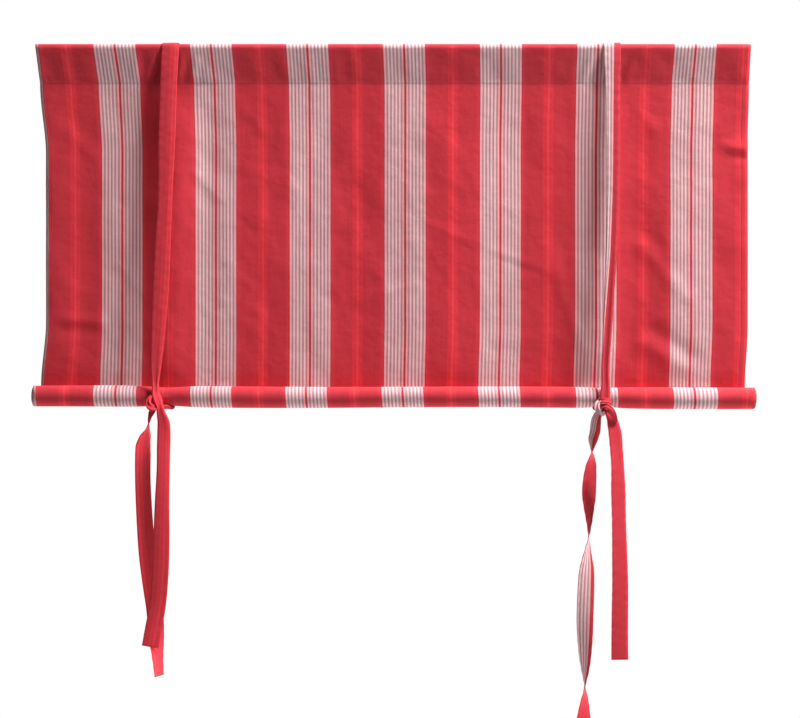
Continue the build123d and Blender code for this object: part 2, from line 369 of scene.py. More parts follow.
def drop_relief(x, z):
    """How far the drop stands towards the room: a fold under each tie, swells and creases."""
    foot = roll_z + roll_radius
    way = (seam_z - z) / (seam_z - foot)
    share = float(eased(way, 0, 0.16) * (1 - 0.75 * eased(way, 0.84, 1.02)))
    folds = 0.0
    for tie_x, depth in tie_folds:
        lean = x - tie_x - fold_lean * (0.5 - way)
        folds += depth * cos(2 * pi * lean / fold_length) * exp(-(lean / fold_reach) ** 2)
    broad, narrow = 2 * pi * x / broad_swell[1], 2 * pi * x / narrow_swell[1]
    swell = broad_swell[0] * sin(broad + 0.6) + narrow_swell[0] * sin(narrow + 3 * z)
    rough = 0.0
    for depth, across, down, seed in crumples:
        rough += depth * noise.noise(Vector((x * across, z * down, seed)))
    small_forms = rough * (0.35 + 0.65 * share) + crease_depth(x, z) * max(share, 0.3)
    return share * (folds + swell) + float(eased(way, -0.02, 0.05)) * small_forms


def pocket_relief(x, z):
    """Puckers of the pocket, gathered a little at its seam and pinched at each tie."""
    below = float(eased(-z, 0.002, 0.020))
    pinch = 0.0
    for tie_x in (left_tie_x, right_tie_x):
        near = (x - tie_x) / pleats_reach
        pinch += exp(-near * near) * pleat_depth * sin(2 * pi * (x - tie_x - pleat_slant * z) / pleat_length)
    ripple = 0.0
    for depth, across, down, seed, slant in pocket_ripples:
        ripple += depth * noise.noise(Vector((x * across + slant * z * across, z * down, seed)))
    near_seam = float(eased(z - seam_z, 0, 0.006))
    return below * (0.25 + 0.75 * near_seam) * (ripple + pinch)


def tangent_bearing(y, z, side):
    """Bearing at which a line from a point touches the pocket's round over the rod."""
    return atan2(z, y) + side * acos(pocket_radius / hypot(y, z))


def sheet_rows(xs):
    """Rows of points across the cloth from its flap to its wound edge: (points, length, flat x)."""
    rows = []
    back_y = seam_y + cloth_thickness + layer_gap
    front_bearing = tangent_bearing(seam_y, seam_z, -1) + 2 * pi
    back_bearing = tangent_bearing(back_y, seam_z, 1)
    length = 0.0

    def add(points, step):
        nonlocal length
        length += step
        rows.append((points, length, xs))

    def level(y, z, relief=None, outward=(-1.0, 0.0)):
        points = []
        for x, shift in zip(xs, aside_at(z, xs)):
            out = relief(x, z) if relief else 0.0
            points.append((x + shift, y + out * outward[0], z + out * outward[1]))
        return points

    add(level(back_y, seam_z - flap_turn_in), 0)
    add(level(back_y, seam_z), flap_turn_in)
    touch_y, touch_z = pocket_radius * cos(back_bearing), pocket_radius * sin(back_bearing)
    straight = hypot(touch_y - back_y, touch_z - seam_z)
    count = ceil(straight / row_height)
    for step in range(1, count):
        share = step / count
        y, z = back_y + (touch_y - back_y) * share, seam_z + (touch_z - seam_z) * share
        add(level(y, z, pocket_relief, (1, 0)), straight / count)
    sweep = front_bearing - back_bearing
    for step in range(rod_steps + 1):
        bearing = back_bearing + sweep * step / rod_steps
        over_rod = level(pocket_radius * cos(bearing), pocket_radius * sin(bearing))
        add(over_rod, pocket_radius * sweep / rod_steps)
    touch_y, touch_z = pocket_radius * cos(front_bearing), pocket_radius * sin(front_bearing)
    for step in range(1, count):
        share = step / count
        y, z = touch_y + (seam_y - touch_y) * share, touch_z + (seam_z - touch_z) * share
        add(level(y, z, pocket_relief), straight / count)
    add(level(seam_y, seam_z), straight / count)

    drop_height = seam_z - roll_z
    count = ceil(drop_height / row_height)
    foot_start = roll_z + roll_radius
    for step in range(1, count):
        z = seam_z - drop_height * step / count
        settle = float(eased(foot_start - z, -relief_fade, roll_radius))
        points = []
        for x, shift in zip(xs, aside_at(z, xs)):
            foot_y, foot_z = roll_point(x, 0.0)
            relief = drop_relief(x, z) if z > roll_z + 0.004 else 0.0
            drawn_back = (foot_y - seam_y) * float(eased(foot_start - z, -draw_back_height, roll_radius))
            y = seam_y + drawn_back - relief * (1 - settle)
            height = z + (foot_z - roll_z) * float(eased(foot_start - z, -roll_line_height, 0.0))
            points.append((x + shift, y, height))
        add(points, drop_height / count)

    angle = 0.0
    last_foot = aside_at(roll_z, xs)
    roll_shift = drawn("roll", xs)
    while angle <= turns_wound * 2 * pi:
        settle = float(eased(angle, 0, 1.2))
        radius = roll_radius - turn_pitch * angle / (2 * pi)
        depth = 1 - (radius - core_radius) / (roll_radius - core_radius)
        bow = turn_bow * sin(angle) * exp(-angle / 12)
        points = []
        for x, foot, shift in zip(xs, last_foot, roll_shift):
            at_end = (abs(x) / half_width) ** end_sharpness * (1 if x > 0 else -1)
            outward = at_end * (end_cone * sqrt(depth) - end_inset + end_waver * sin(1.7 * angle))
            y, z = roll_point(x, angle)
            points.append((x + foot * (1 - settle) + (shift + outward) * settle + bow * cos(3 * x), y, z))
        add(points, radius * 2 * pi / turn_steps)
        angle += 2 * pi / turn_steps
    return rows


def cloth_object(name, rows):
    """A sheet of cotton through rows of points. A row may have fewer points than the one before it."""
    vertices, faces, places = [], [], []
    last = None
    for points, length, flat in rows:
        start = len(vertices)
        vertices.extend(points)
        places.extend((x, length) for x in flat)
        current = list(range(start, start + len(points)))
        if last:
            every = (len(last) - 1) // (len(current) - 1)
            for index in range(len(current) - 1):
                upper = last[index * every:(index + 1) * every + 1]
                faces.append(upper + [current[index + 1], current[index]])
        last = current
    mesh = bpy.data.meshes.new(name)
    mesh.from_pydata([Vector(p) for p in vertices], [], faces)
    layer = mesh.uv_layers.new(name="cut")
    corners = np.empty(len(mesh.loops), int)
    mesh.loops.foreach_get("vertex_index", corners)
    layer.data.foreach_set("uv", np.array(places, float)[corners].ravel())
    mesh.polygons.foreach_set("use_smooth", [True] * len(mesh.polygons))
    mesh.materials.append(cotton)
    sheet = bpy.data.objects.new(name, mesh)
    bpy.context.scene.collection.objects.link(sheet)
    wall = sheet.modifiers.new("thickness", "SOLIDIFY")
    wall.thickness = cloth_thickness
    wall.offset = 0.0
    return sheet


columns = coarse_share * round(2 * half_width / column_width / coarse_share)
fine_xs = np.linspace(-half_width, half_width, columns + 1)
fine_rows = sheet_rows(fine_xs)
coarse_from = len(fine_rows) - int((turns_wound - fine_turns) * turn_steps)
coarse_from_length = fine_rows[coarse_from][1]
thinned = [(points[::coarse_share], length, flat[::coarse_share])
           for points, length, flat in fine_rows[coarse_from:]]
cloth_rows = fine_rows[:coarse_from] + thinned
panel = cloth_object("blind_cloth", cloth_rows)
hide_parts("cloth_panel")
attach(panel, "root")


# The ties. Each is one long band of the same cotton, folded lengthwise and sewn, laid over the top
# pocket, taken down both sides of the drop and under the roll, and knotted there. Its two ends
# hang from the knot. The left tie is cut from a red stripe, the right one from a stripe's edge.

band_width = 0.024
band_thickness = 0.0015
band_slack = 0.0003
band_step = 0.003
section_points = 24
edge_squareness = 0.55
pleat_height = 0.055
pleats = 1.5
edge_ripple = 0.00025
ripple_rate = 450.0
edge_turn = 0.4

# Where in the stripes a face of a tie is cut, from the middle of a pale stripe
pinstripe_cut = 0.0140
half_pale_cut = 0.0225
pale_cut = 0.0240
dark_red_cut = 0.0460
plain_red_cut = 0.0500
mid_red_cut = 0.0520
deep_red_cut = 0.0540
red_cut = 0.0600

tie_top = {"left": -0.3110, "right": 0.3060}
over_pocket = pocket_radius + cloth_thickness / 2 + band_slack + band_thickness / 2


def hanging(x, y, z, turn=0.0, width=band_width, thickness=band_thickness):
    """A station of a band that hangs down, its flat turned away from the room by an angle."""
    return x, y, z, sin(radians(turn)), -cos(radians(turn)), 0.0, width, thickness


def facing(x, y, z, face, width=band_width, thickness=band_thickness):
    """A station of a band that lies round something, with the way its outer face looks."""
    return x, y, z, *face, width, thickness


def round_rod(x, radius, start, sweep, steps):
    """Stations of a band laid round the top rod."""
    made = []
    for step in range(steps + 1):
        bearing = radians(start + sweep * step / steps)
        out = (0.0, cos(bearing), sin(bearing))
        made.append(facing(x, radius * out[1], radius * out[2], out))
    return made


def smooth_path(stations):
    """Stations along a smooth line through the chosen ones, a few millimetres apart."""
    chosen = np.array(stations, float)
    gaps = np.linalg.norm(np.diff(chosen[:, :3], axis=0), axis=1)
    places = np.concatenate([[0], np.cumsum(gaps)])
    slopes = np.gradient(chosen, places, axis=0)
    count = max(4, ceil(places[-1] / band_step))
    along = np.linspace(0, places[-1], count + 1)
    index = np.clip(np.searchsorted(places, along, side="right") - 1, 0, len(gaps) - 1)
    share = ((along - places[index]) / gaps[index])[:, None]
    span = gaps[index][:, None]
    rise = share * share * (3 - 2 * share)
    lead = share * (1 - share) ** 2 * span
    trail = -share * share * (1 - share) * span
    return (chosen[index] * (1 - rise) + chosen[index + 1] * rise
            + slopes[index] * lead + slopes[index + 1] * trail)


def add_band(cut, stations, front_at, back_at, start=0.0):
    """A band through the stations, added to a cut's points, faces and places in the cloth."""
    path = smooth_path(stations)
    ways = np.gradient(path[:, :3], axis=0)
    ways /= np.linalg.norm(ways, axis=1)[:, None]
    length = start
    first = len(cut["points"])
    angles = [2 * pi * (index + 0.5) / section_points for index in range(section_points)]
    rings = []
    for index, station in enumerate(path):
        centre, way = Vector(station[:3]), Vector(ways[index])
        if index:
            length += (centre - Vector(path[index - 1][:3])).length
        face = Vector(station[3:6])
        side = face.cross(way).normalized()
        face = way.cross(side).normalized()
        width, thickness = station[6], station[7]
        pleat = pleat_height * max(0.0, band_width - width)
        ring = []
        # u runs across the band and v through it, each from -1 to 1
        for angle in angles:
            u = abs(cos(angle)) ** edge_squareness * (1 if cos(angle) > 0 else -1)
            v = abs(sin(angle)) ** edge_squareness * (1 if sin(angle) > 0 else -1)
            wave = pleat * cos(2 * pi * pleats * u + 0.7) - edge_ripple * cos(ripple_rate * length) * u
            cut["points"].append(centre + side * (u * width / 2) + face * (v * thickness / 2 + wave))
            ring.append((u, length))
        rings.append(ring)
    shares = np.linspace(0, 1, len(path))
    front_line = np.interp(shares, np.linspace(0, 1, len(front_at)), front_at)
    back_line = np.interp(shares, np.linspace(0, 1, len(back_at)), back_at)

    def place(row, column, front):
        u, along = rings[row][column]
        middle = front_line[row] if front else back_line[row]
        return first_pale_centre + middle + u * band_width / 2, along

    for row in range(len(path) - 1):
        for column in range(section_points):
            after = (column + 1) % section_points
            front = angles[column] < pi - edge_turn
            corners = [(row, column), (row + 1, column), (row + 1, after), (row, after)]
            cut["faces"].append([first + r * section_points + c for r, c in corners])
            cut["places"].extend(place(r, c, front) for r, c in corners)
    for row, order in ((0, range(section_points)), (len(path) - 1, range(section_points - 1, -1, -1))):
        cut["faces"].append([first + row * section_points + c for c in order])
        cut["places"].extend(place(row, c, True) for c in order)


def tie_object(name, cut):
    mesh = bpy.data.meshes.new(name)
    mesh.from_pydata(cut["points"], [], cut["faces"])
    layer = mesh.uv_layers.new(name="cut")
    layer.data.foreach_set("uv", np.array(cut["places"], float).ravel())
    mesh.polygons.foreach_set("use_smooth", [True] * len(mesh.polygons))
    mesh.materials.append(cotton)
    tie = bpy.data.objects.new(name, mesh)
    bpy.context.scene.collection.objects.link(tie)
    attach(tie, "root")
    return tie


# The left tie. Its front run crosses the knot and goes on as the inner tail. The back run comes
# forward under the roll, goes once round the knot and hangs as the outer tail.

left_cut = {"points": [], "faces": [], "places": []}
x = tie_top["left"]
left_front = round_rod(x, over_pocket, 60, 120, 8) + [
    hanging(-0.3130, -0.0105, -0.050, width=0.0236),
    hanging(-0.3150, -0.0150, -0.130, width=0.0236),
    hanging(-0.3172, -0.0185, -0.212, width=0.0205),
    hanging(-0.3200, -0.0220, -0.285, width=0.0222),
    hanging(-0.3229, -0.0246, -0.352, width=0.0218),
    hanging(-0.3262, -0.0272, -0.410, width=0.0190),
    hanging(-0.3283, -0.0288, -0.449, width=0.0145),
    hanging(-0.3285, -0.0295, -0.470, turn=8, width=0.0095, thickness=0.0022),
    hanging(-0.3275, -0.0335, -0.482, turn=14, width=0.0110, thickness=0.0024),
    hanging(-0.3236, -0.0400, -0.4915, turn=20, width=0.0125, thickness=0.0024),
    hanging(-0.3211, -0.0418, -0.5000, turn=18, width=0.0100, thickness=0.0026),
    hanging(-0.3190, -0.0392, -0.5105, turn=10, width=0.0130, thickness=0.0022),
    hanging(-0.3163, -0.0378, -0.5215, turn=4, width=0.0168, thickness=0.0018),
    hanging(-0.3158, -0.0375, -0.5330, turn=6, width=0.0182, thickness=0.0016),
    hanging(-0.3162, -0.0378, -0.5560, turn=10, width=0.0184),
    hanging(-0.3166, -0.0382, -0.5850, turn=8, width=0.0182),
    hanging(-0.3182, -0.0385, -0.6300, turn=2, width=0.0200),
    hanging(-0.3190, -0.0388, -0.6800, turn=-2, width=0.0225),
    hanging(-0.3205, -0.0386, -0.7300, turn=-5, width=0.0230),
    hanging(-0.3245, -0.0384, -0.7750, turn=-4, width=0.0230),
    hanging(-0.3300, -0.0385, -0.8050, turn=0, width=0.0232),
    hanging(-0.3345, -0.0385, -0.8310, turn=2, width=0.0235),
]
add_band(left_cut, left_front, (red_cut, red_cut + 0.004), (mid_red_cut, plain_red_cut))

wrap_centre = Vector((-0.3278, -0.0345, -0.4990))
wrap_half_width = 0.0078
wrap_half_depth = 0.0052
wrap_tilt = -0.0022
wrap = []
for step in range(15):
    bearing = radians(-60 + 27 * step)
    right, behind = cos(bearing), sin(bearing)
    spot = wrap_centre + Vector((wrap_half_width * right, wrap_half_depth * behind, wrap_tilt * right))
    wrap.append(facing(*spot, (right, behind, 0.12 * right), width=0.0088, thickness=0.0024))
add_band(left_cut, wrap, (red_cut,), (red_cut,), start=0.5)

left_back = round_rod(x, over_pocket, 60, -60, 4) + [
    facing(-0.3112, over_pocket + 0.0002, -0.030, (0, 1, 0)),
    facing(-0.3125, over_pocket - 0.0010, -0.120, (0, 1, 0)),
    facing(-0.3140, 0.0050, -0.260, (0, 1, 0)),
    facing(-0.3150, 0.0022, -0.390, (0, 1, 0)),
    facing(-0.3150, 0.0008, -0.455, (0, 1, 0), width=0.0230),
    facing(-0.3148, 0.0002, -0.480, (0, 1, -0.1), width=0.0220),
    facing(-0.3146, -0.0022, -0.4935, (0, 0.8, -0.6), width=0.0205),
    facing(-0.3140, -0.0090, -0.5010, (0, 0.3, -1), width=0.0195, thickness=0.0018),
    facing(-0.3138, -0.0180, -0.5030, (0, -0.1, -1), width=0.0176, thickness=0.0022),
    facing(-0.3158, -0.0240, -0.5018, (0.2, -0.4, -1), width=0.0140, thickness=0.0028),
    facing(-0.3200, -0.0300, -0.5005, (0.5, -0.4, -1), width=0.0095, thickness=0.0034),
    facing(-0.3240, -0.0345, -0.5015, (0.4, -0.2, -1), width=0.0080, thickness=0.0036),
]
add_band(left_cut, left_back, (mid_red_cut, plain_red_cut), (red_cut,), start=1.0)

left_loop = [
    facing(-0.3312, -0.0330, -0.4835, (-0.3, -0.8, 0.5), width=0.0050, thickness=0.0022),
    facing(-0.3352, -0.0370, -0.4880, (-0.5, -0.7, 0.5), width=0.0056, thickness=0.0022),
    facing(-0.3370, -0.0405, -0.4935, (-0.4, -0.8, 0.5), width=0.0066, thickness=0.0024),
    facing(-0.3348, -0.0438, -0.4988, (-0.1, -0.85, 0.5), width=0.0096, thickness=0.0024),
    facing(-0.3302, -0.0450, -0.5010, (0.1, -0.85, 0.5), width=0.0108, thickness=0.0026),
    facing(-0.3258, -0.0418, -0.5005, (0.4, -0.8, 0.4), width=0.0080, thickness=0.0026),
]
add_band(left_cut, left_loop, (red_cut,), (red_cut,), start=1.3)

left_outer = [
    hanging(-0.3300, -0.0350, -0.5020, turn=-40, width=0.0080, thickness=0.0032),
    hanging(-0.3342, -0.0352, -0.5096, turn=-58, width=0.0125, thickness=0.0022),
    hanging(-0.3365, -0.0350, -0.5185, turn=-76, width=0.0165, thickness=0.0018),
    hanging(-0.3380, -0.0345, -0.5270, turn=-90, width=0.0195),
    hanging(-0.3412, -0.0335, -0.5380, turn=-118, width=0.0220),
    hanging(-0.3448, -0.0325, -0.5516, turn=-140, width=0.0230),
    hanging(-0.3456, -0.0318, -0.5700, turn=-160, width=0.0220),
    hanging(-0.3458, -0.0310, -0.5980, turn=-174, width=0.0215),
    hanging(-0.3446, -0.0306, -0.6320, turn=-180, width=0.0222),
    hanging(-0.3425, -0.0306, -0.6680, turn=-180, width=0.0230),
    hanging(-0.3395, -0.0306, -0.7060, turn=-176, width=0.0235),
    hanging(-0.3345, -0.0306, -0.7450, turn=-173, width=0.0235),
    hanging(-0.3290, -0.0306, -0.7830, turn=-166, width=0.0235),
    hanging(-0.3270, -0.0308, -0.8170, turn=-146, width=0.0235),
    hanging(-0.3250, -0.0312, -0.8470, turn=-122, width=0.0235),
    hanging(-0.3230, -0.0315, -0.8720, turn=-114, width=0.0235),
]
add_band(left_cut, left_outer, (red_cut,), (red_cut,), start=1.6)
left_tie = tie_object("left_tie_band", left_cut)
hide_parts("left_tie")


# The right tie. Its front run goes under a turn of the band that arches over into the inner tail,
# and the pale face of the outer tail crosses the knot on its left and then twists as it hangs.

right_cut = {"points": [], "faces": [], "places": []}
x = tie_top["right"]
right_front = round_rod(x, over_pocket, 60, 120, 8) + [
    hanging(0.3062, -0.0105, -0.050, width=0.0208),
    hanging(0.3060, -0.0150, -0.130, width=0.0195),
    hanging(0.3052, -0.0185, -0.212, width=0.0182),
    hanging(0.3030, -0.0220, -0.285, width=0.0160),
    hanging(0.2995, -0.0246, -0.352, width=0.0142),
    hanging(0.2962, -0.0272, -0.410, width=0.0125),
    hanging(0.2940, -0.0288, -0.449, width=0.0115),
    hanging(0.2944, -0.0305, -0.4700, width=0.0118, thickness=0.0020),
    hanging(0.2932, -0.0330, -0.4853, width=0.0150, thickness=0.0022),
    hanging(0.2932, -0.0340, -0.4940, width=0.0140, thickness=0.0030),
]
# The front run is cut along the edge of a pale stripe and goes over into the red on its way down
front_run_cuts = (0.0264, 0.0280, 0.0288, 0.0310, 0.0370, 0.0430)
add_band(right_cut, right_front, front_run_cuts, (pale_cut,))

right_fold = [
    facing(0.2822, -0.0320, -0.4945, (-0.8, -0.5, 0.3), width=0.0070, thickness=0.0024),
    facing(0.2856, -0.0385, -0.4918, (-0.3, -0.8, 0.6), width=0.0090, thickness=0.0026),
    facing(0.2925, -0.0415, -0.4912, (0, -0.85, 0.6), width=0.0096, thickness=0.0028),
    facing(0.2982, -0.0400, -0.4922, (0.35, -0.8, 0.5), width=0.0086, thickness=0.0026),
    facing(0.3014, -0.0335, -0.4945, (0.8, -0.5, 0.2), width=0.0062, thickness=0.0024),
]
add_band(right_cut, right_fold, (dark_red_cut,), (pale_cut,), start=0.5)

right_arch = [
    facing(0.2850, -0.0370, -0.5000, (-0.3, -0.8, 0.5), width=0.0064, thickness=0.0024),
    facing(0.2890, -0.0420, -0.4985, (-0.1, -0.85, 0.6), width=0.0070, thickness=0.0026),
    facing(0.2955, -0.0440, -0.4992, (0.2, -0.85, 0.6), width=0.0074, thickness=0.0026),
    facing(0.3016, -0.0428, -0.5040, (0.4, -0.8, 0.4), width=0.0070, thickness=0.0024),
    facing(0.3056, -0.0402, -0.5115, (0.5, -0.8, 0.2), width=0.0062, thickness=0.0020),
    facing(0.3082, -0.0376, -0.5205, (0.4, -0.9, 0), width=0.0048, thickness=0.0014),
]
add_band(right_cut, right_arch, (plain_red_cut,), (plain_red_cut,), start=0.55)

right_inner = [
    hanging(0.2960, -0.0340, -0.5040, turn=10, width=0.0100, thickness=0.0034),
    hanging(0.3016, -0.0350, -0.5149, turn=14, width=0.0142, thickness=0.0022),
    hanging(0.3040, -0.0356, -0.5235, turn=16, width=0.0172, thickness=0.0018),
    hanging(0.3060, -0.0362, -0.5330, turn=18, width=0.0194),
    hanging(0.3084, -0.0366, -0.5590, turn=24, width=0.0205),
    hanging(0.3098, -0.0368, -0.5800, turn=28, width=0.0216),
    hanging(0.3108, -0.0370, -0.6150, turn=22, width=0.0226),
    hanging(0.3117, -0.0370, -0.6550, turn=22, width=0.0222),
    hanging(0.3126, -0.0370, -0.7000, turn=18, width=0.0230),
    hanging(0.3134, -0.0370, -0.7450, turn=12, width=0.0235),
    hanging(0.3130, -0.0370, -0.7900, turn=6, width=0.0235),
    hanging(0.3128, -0.0370, -0.8250, turn=2, width=0.0235),
    hanging(0.3130, -0.0370, -0.8490, turn=0, width=0.0238),
]
add_band(right_cut, right_inner, (plain_red_cut, mid_red_cut), (pale_cut,), start=0.6)

right_back = round_rod(x, over_pocket, 60, -60, 4) + [
    facing(0.3055, over_pocket + 0.0002, -0.030, (0, 1, 0)),
    facing(0.3035, over_pocket - 0.0010, -0.120, (0, 1, 0)),
    facing(0.3000, 0.0050, -0.260, (0, 1, 0)),
    facing(0.2965, 0.0022, -0.390, (0, 1, 0)),
    facing(0.2950, 0.0008, -0.455, (0, 1, 0), width=0.0230),
    facing(0.2945, 0.0002, -0.480, (0, 1, -0.1), width=0.0220),
    facing(0.2942, -0.0022, -0.4945, (0, 0.8, -0.6), width=0.0200),
    facing(0.2940, -0.0090, -0.5025, (0, 0.3, -1), width=0.0180, thickness=0.0018),
    facing(0.2940, -0.0180, -0.5045, (0, -0.1, -1), width=0.0160, thickness=0.0024),
    facing(0.2945, -0.0260, -0.5055, (0, -0.4, -1), width=0.0140, thickness=0.0034),
    facing(0.2960, -0.0330, -0.5045, (0, -0.6, -0.8), width=0.0120, thickness=0.0040),
    facing(0.2975, -0.0360, -0.4985, (0, -0.9, -0.2), width=0.0110, thickness=0.0034),
]
add_band(right_cut, right_back, (pale_cut,), (dark_red_cut,), start=1.1)

pale_wrap = [
    facing(0.2868, -0.0360, -0.4905, (-0.3, -0.7, 0.6), width=0.0060, thickness=0.0022),
    facing(0.2824, -0.0400, -0.4950, (-0.6, -0.8, 0.3), width=0.0078, thickness=0.0022),
    facing(0.2808, -0.0420, -0.5012, (-0.4, -0.9, 0), width=0.0086, thickness=0.0022),
    facing(0.2838, -0.0425, -0.5066, (-0.2, -0.95, -0.1), width=0.0074, thickness=0.0022),
    facing(0.2882, -0.0405, -0.5100, (0, -0.9, -0.4), width=0.0056, thickness=0.0022),
    facing(0.2925, -0.0350, -0.5105, (0.1, -0.5, -0.9), width=0.0044, thickness=0.0022),
]
add_band(right_cut, pale_wrap, (pinstripe_cut,), (red_cut,), start=1.5)

tucked_end = [
    facing(0.2860, -0.0290, -0.4985, (-0.2, -0.6, 0.7), width=0.0070, thickness=0.0026),
    facing(0.2805, -0.0320, -0.5008, (-0.5, -0.6, 0.5), width=0.0062, thickness=0.0026),
    facing(0.2766, -0.0335, -0.5030, (-0.7, -0.6, 0.2), width=0.0036, thickness=0.0020),
]
add_band(right_cut, tucked_end, (dark_red_cut,), (dark_red_cut,), start=1.6)

right_outer = [
    hanging(0.2880, -0.0345, -0.5030, turn=-8, width=0.0080, thickness=0.0032),
    hanging(0.2813, -0.0362, -0.5149, turn=-14, width=0.0124, thickness=0.0022),
    hanging(0.2798, -0.0360, -0.5235, turn=-24, width=0.0150, thickness=0.0018),
    hanging(0.2790, -0.0358, -0.5325, turn=-36, width=0.0165),
    hanging(0.2755, -0.0352, -0.5480, turn=-62, width=0.0200),
    hanging(0.2748, -0.0346, -0.5590, turn=-88, width=0.0215),
    hanging(0.2745, -0.0345, -0.5720, turn=-120, width=0.0225),
    hanging(0.2727, -0.0345, -0.5890, turn=-150, width=0.0202),
    hanging(0.2710, -0.0345, -0.6120, turn=-182, width=0.0194),
    hanging(0.2708, -0.0345, -0.6380, turn=-230, width=0.0205),
    hanging(0.2710, -0.0345, -0.6600, turn=-256, width=0.0215),
    hanging(0.2703, -0.0345, -0.6800, turn=-277, width=0.0225),
    hanging(0.2688, -0.0345, -0.7000, turn=-300, width=0.0230),
    hanging(0.2674, -0.0345, -0.7300, turn=-340, width=0.0235),
    hanging(0.2662, -0.0345, -0.7620, turn=-358, width=0.0235),
    hanging(0.2652, -0.0345, -0.7950, turn=-375, width=0.0235),
    hanging(0.2652, -0.0345, -0.8280, turn=-398, width=0.0235),
    hanging(0.2652, -0.0345, -0.8600, turn=-425, width=0.0235),
    hanging(0.2648, -0.0345, -0.8850, turn=-455, width=0.0235),
    hanging(0.2642, -0.0345, -0.9080, turn=-485, width=0.0235),
    hanging(0.2632, -0.0345, -0.9330, turn=-512, width=0.0235),
    hanging(0.2622, -0.0345, -0.9560, turn=-530, width=0.0235),
]
outer_tail_cuts = (pale_cut, 0.0300) + 7 * (half_pale_cut,)
add_band(right_cut, right_outer, outer_tail_cuts, (deep_red_cut,), start=1.7)
right_tie = tie_object("right_tie_band", right_cut)
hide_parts("right_tie")


# The side hems. Each long edge of the drop is turned back once, two columns of the cloth wide, so a
# second layer of the cotton lies behind it from the seam into the roll's first turns.

hem_columns = 2
drop_rows = [row for row in fine_rows if row[0][0][2] < seam_z - 0.001 and row[1] < coarse_from_length]
hem_set = cloth_thickness + layer_gap
for side, chosen in (("left", slice(0, hem_columns + 1)), ("right", slice(-hem_columns - 1, None))):
    rows = [([(x, y + hem_set, z) for x, y, z in points[chosen]], length, flat[chosen])
            for points, length, flat in drop_rows]
    hem = cloth_object(f"{side}_hem", rows)
    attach(hem, "root")


# The sewing. Short stitches of dark red thread run along the pocket's seam and down both side
# hems, in lines of points that a node group sets a stitch on.

stitch_length = 0.0021
thread_radius = 0.00022
stitch_pitch = 0.0032
stitch_sway = 0.09
hem_stitch_inset = 0.0015
thread_red = (118, 28, 36)
bright_thread_red = (146, 44, 52)

thread, tree, surface = new_material("thread_red")
along = node(tree, "ShaderNodeTexCoord").outputs["Object"]
ply = node(tree, "ShaderNodeTexNoise", {"Vector": along, "Scale": 900.0, "Detail": 1.0}).outputs[0]
shade = blended(tree, ply, thread_red, bright_thread_red)
tree.links.new(shade, surface.inputs["Base Color"])
surface.inputs["Roughness"].default_value = 0.7


def stitch_tool():
    """Node group that lays stitches of a material along the edges of a mesh."""
    group = bpy.data.node_groups.new("stitch_line", "GeometryNodeTree")
    face = group.interface
    face.new_socket("Geometry", in_out="INPUT", socket_type="NodeSocketGeometry")
    sizes = {"Pitch": stitch_pitch, "Stitch Length": stitch_length, "Thread Radius": thread_radius}
    for name in sizes:
        face.new_socket(name, in_out="INPUT", socket_type="NodeSocketFloat")
    face.new_socket("Thread", in_out="INPUT", socket_type="NodeSocketMaterial")
    face.new_socket("Geometry", in_out="OUTPUT", socket_type="NodeSocketGeometry")
    given = node(group, "NodeGroupInput").outputs
    curve = node(group, "GeometryNodeMeshToCurve", {"Mesh": given["Geometry"]}).outputs[0]
    spaced = node(group, "GeometryNodeResampleCurve", {"Curve": curve, "Length": given["Pitch"]},
                  mode="LENGTH")
    tangent = node(group, "GeometryNodeInputTangent").outputs[0]
    turned = node(group, "FunctionNodeAlignRotationToVector", {"Vector": tangent}, axis="Z")
    swayed = {"Min": 3 * (-stitch_sway,), "Max": 3 * (stitch_sway,), "Seed": 7}
    sway = node(group, "FunctionNodeRandomValue", swayed, data_type="FLOAT_VECTOR").outputs[0]
    turned = node(group, "FunctionNodeRotateRotation", {"Rotation": turned.outputs[0], "Rotate By": sway},
                  rotation_space="LOCAL")
    shape = {"Vertices": 6, "Radius": given["Thread Radius"], "Depth": given["Stitch Length"]}
    stitch = node(group, "GeometryNodeMeshCylinder", shape, fill_type="TRIANGLE_FAN")
    placed = {"Points": spaced.outputs[0], "Instance": stitch.outputs[0], "Rotation": turned.outputs[0]}
    laid = node(group, "GeometryNodeInstanceOnPoints", placed)
    real = node(group, "GeometryNodeRealizeInstances", {0: laid.outputs[0]}).outputs[0]
    dyed = node(group, "GeometryNodeSetMaterial", {"Geometry": real, "Material": given["Thread"]})
    node(group, "NodeGroupOutput", {"Geometry": dyed.outputs[0]})
    return group, sizes


def stitch_line(name, lines, tool):
    """Stitches along lines of points, as one piece."""
    group, sizes = tool
    points, edges = [], []
    for line in lines:
        edges.extend((len(points) + i, len(points) + i + 1) for i in range(len(line) - 1))
        points.extend(line)
    mesh = bpy.data.meshes.new(f"{name}_path")
    mesh.from_pydata(points, edges, [])
    path = bpy.data.objects.new(f"{name}_path", mesh)
    bpy.context.scene.collection.objects.link(path)
    stitches = path.modifiers.new("stitches", "NODES")
    stitches.node_group = group
    sockets = {item.name: item.identifier for item in group.interface.items_tree if item.in_out == "INPUT"}
    for socket, size in sizes.items():
        stitches[sockets[socket]] = size
    stitches[sockets["Thread"]] = thread
    path.update_tag()
    seen = path.evaluated_get(bpy.context.evaluated_depsgraph_get())
    made = bpy.data.meshes.new_from_object(seen)
    made.name = name
    path.modifiers.remove(stitches)
    bpy.data.objects.remove(path)
    sewing = bpy.data.objects.new(name, made)
    bpy.context.scene.collection.objects.link(sewing)
    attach(sewing, "root")
    return sewing


